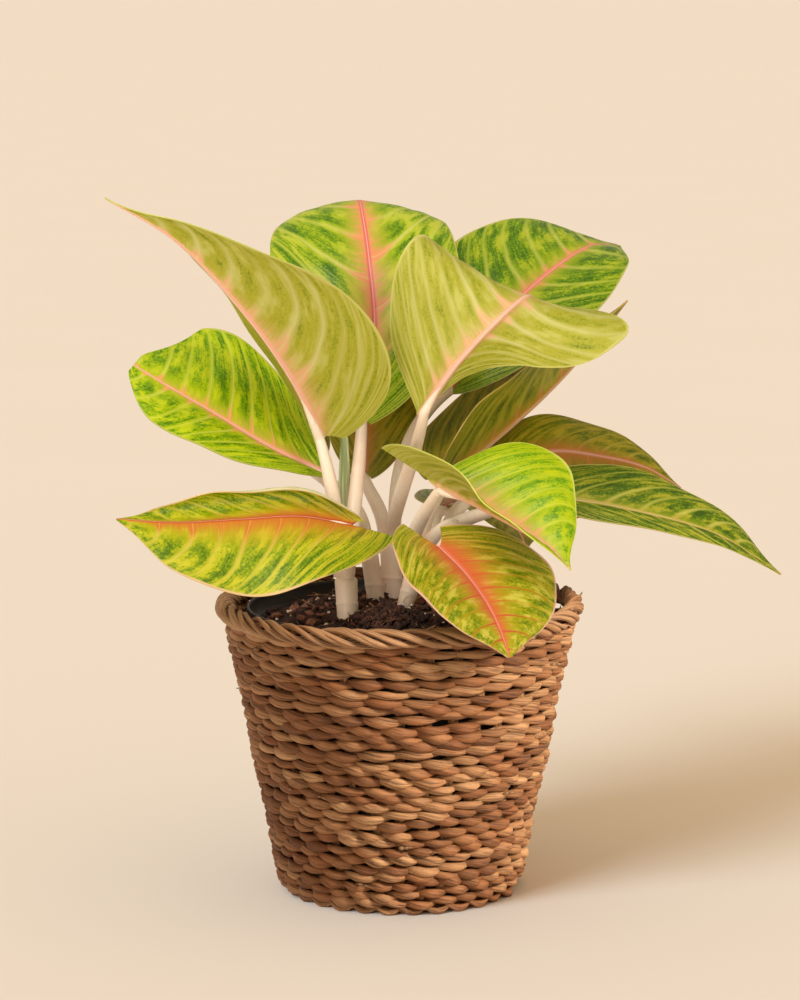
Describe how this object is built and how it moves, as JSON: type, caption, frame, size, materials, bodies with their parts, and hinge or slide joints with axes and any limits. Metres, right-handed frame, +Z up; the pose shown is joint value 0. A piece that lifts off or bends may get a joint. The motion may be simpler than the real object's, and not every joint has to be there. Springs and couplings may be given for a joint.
{
  "type": "potted chinese evergreen",
  "caption": "Chinese evergreen with broad mottled lime leaves on pale stalks, growing from soil in a plastic nursery pot that stands in a woven rush basket.",
  "frame": {"origin": "centre of the flat underside of the basket", "axes": "+Z up, +X to the right of the front view, +Y to the back"},
  "size_m": [0.3326, 0.2487, 0.3554],
  "materials": {
    "rush": "dry twisted rush, matt",
    "pot_plastic": "thin black nursery pot",
    "soil": "moist bark and peat mix",
    "stem": "smooth pale cream stalks, satin",
    "leaf_bright": "lime leaf with green mottling and a coral midrib, semi-gloss",
    "leaf_dark": "green leaf with pale veins, semi-gloss"
  },
  "bodies": {
    "root": {"basket_base": "rush", "basket_wall": "rush", "basket_rim": "rush", "nursery_pot": "pot_plastic", "soil": "soil", "stem_left": "stem", "stem_middle": "stem", "stem_centre": "stem", "stem_right": "stem", "stem_back": "stem", "blade_upper_left": "leaf_bright", "petiole_upper_left": "stem", "blade_top_centre": "leaf_bright", "petiole_top_centre": "stem", "blade_right_front": "leaf_bright", "petiole_right_front": "stem", "blade_top_right": "leaf_dark", "petiole_top_right": "stem", "blade_right_folded": "leaf_dark", "petiole_right_folded": "stem", "blade_left_middle": "leaf_bright", "petiole_left_middle": "stem", "blade_lower_left": "leaf_bright", "petiole_lower_left": "stem", "blade_front_small": "leaf_bright", "petiole_front_small": "stem", "blade_front_right": "leaf_bright", "petiole_front_right": "stem", "blade_right_back": "leaf_bright", "petiole_right_back": "stem", "blade_far_right": "leaf_dark", "petiole_far_right": "stem", "blade_back_centre": "leaf_dark", "petiole_back_centre": "stem", "blade_back_left": "leaf_dark", "petiole_back_left": "stem", "blade_back_right": "leaf_dark", "petiole_back_right": "stem", "new_leaf": "leaf_dark"}
  },
  "joints": []
}
